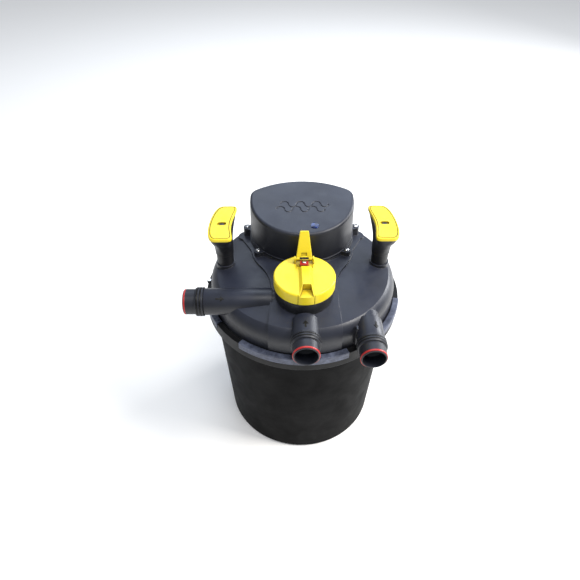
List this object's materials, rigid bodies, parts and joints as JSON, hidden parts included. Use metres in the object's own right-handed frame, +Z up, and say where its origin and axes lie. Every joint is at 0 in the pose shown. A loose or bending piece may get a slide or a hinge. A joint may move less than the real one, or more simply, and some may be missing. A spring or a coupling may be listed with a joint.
{
  "type": "canister filter",
  "caption": "Pressurised pond canister filter: tapered tank under a domed lid with a lamp housing, three-way valve dial with flip lever, pull handles and hose spigots.",
  "frame": {"origin": "centre of the tank's flat underside", "axes": "+Z up along the tank, -Y the front with the valve dial and two hose spigots, +X to the right seen from the front"},
  "size_m": [0.4245, 0.431, 0.5276],
  "materials": {
    "tank_black": "satin moulded, near black",
    "lid_slate": "fine moulded texture, dark slate",
    "ring_black": "moulded",
    "pad_grey": "worn, lighter bluish grey",
    "yellow": "bright yellow, satin gloss",
    "grip_black": "moulded",
    "port_grey": "moulded, ribbed",
    "red": "red",
    "steel": "bright",
    "rubber": "black rubber",
    "lens": "dark blue lens",
    "quartz": "clear quartz",
    "white": "white",
    "foam_black": "coarse open foam",
    "foam_blue": "medium open foam",
    "foam_green": "fine open foam",
    "foam_cream": "polishing foam",
    "core_grey": "moulded"
  },
  "bodies": {
    "vessel": {"tank": "tank_black", "tank_seal": "rubber", "clamp_ring": "ring_black", "ring_pads": "pad_grey", "latch_pin": "steel", "lid": "lid_slate", "left_spigot": "port_grey", "front_spigot": "port_grey", "outlet_spigot": "port_grey", "spigot_seals": "rubber", "left_mouth_ring": "red", "front_mouth_ring": "red", "outlet_mouth_ring": "red", "valve_bowl": "grip_black", "valve_cover": "core_grey", "stem_seal": "rubber", "uv_housing": "lid_slate", "housing_gasket": "rubber", "housing_screws": "steel", "sight_lens": "lens", "ballast_box": "core_grey", "lamp_socket": "white", "uv_lamp": "quartz", "quartz_sleeve": "quartz", "sleeve_collar": "core_grey", "sleeve_seal": "rubber", "cable_gland": "grip_black", "guide_bushes": "core_grey", "rod_seals": "rubber", "coarse_foam": "foam_black", "medium_foam": "foam_blue", "fine_foam": "foam_green", "polishing_foam": "foam_cream", "centre_tube": "core_grey", "top_grid": "core_grey"},
    "valve": {"valve_rotor": "core_grey", "valve_stem": "core_grey", "valve_dial": "yellow", "lever_pin": "grip_black", "lock_piece": "red", "cap_nut": "steel"},
    "lever": {"dial_lever": "yellow"},
    "press": {"left_handle_body": "grip_black", "right_handle_body": "grip_black", "left_handle_cap": "yellow", "right_handle_cap": "yellow", "cap_screws": "core_grey", "left_pull_rod": "steel", "right_pull_rod": "steel", "rod_nuts": "steel", "press_plate": "core_grey"},
    "latch": {"latch_lever": "pad_grey"}
  },
  "joints": [
    {"name": "valve_turn", "type": "hinge", "parent": "vessel", "child": "valve", "pos_m": [0, -0.094, 0.442], "axis": [0, 0, 1], "range_deg": [-90, 90]},
    {"name": "lever_fold", "type": "hinge", "parent": "valve", "child": "lever", "pos_m": [0, -0.06, 0.475], "axis": [1, 0, 0], "range_deg": [0, 102]},
    {"name": "press_lift", "type": "slide", "parent": "vessel", "child": "press", "axis": [0, 0, 1], "range_m": [0, 0.06], "stiffness_N_per_m": 300, "deforming": ["coarse_foam", "medium_foam", "fine_foam", "polishing_foam"]},
    {"name": "latch_open", "type": "hinge", "parent": "vessel", "child": "latch", "pos_m": [-0.19622, 0.02062, 0.337], "axis": [0, 0, 1], "range_deg": [0, 80]}
  ]
}
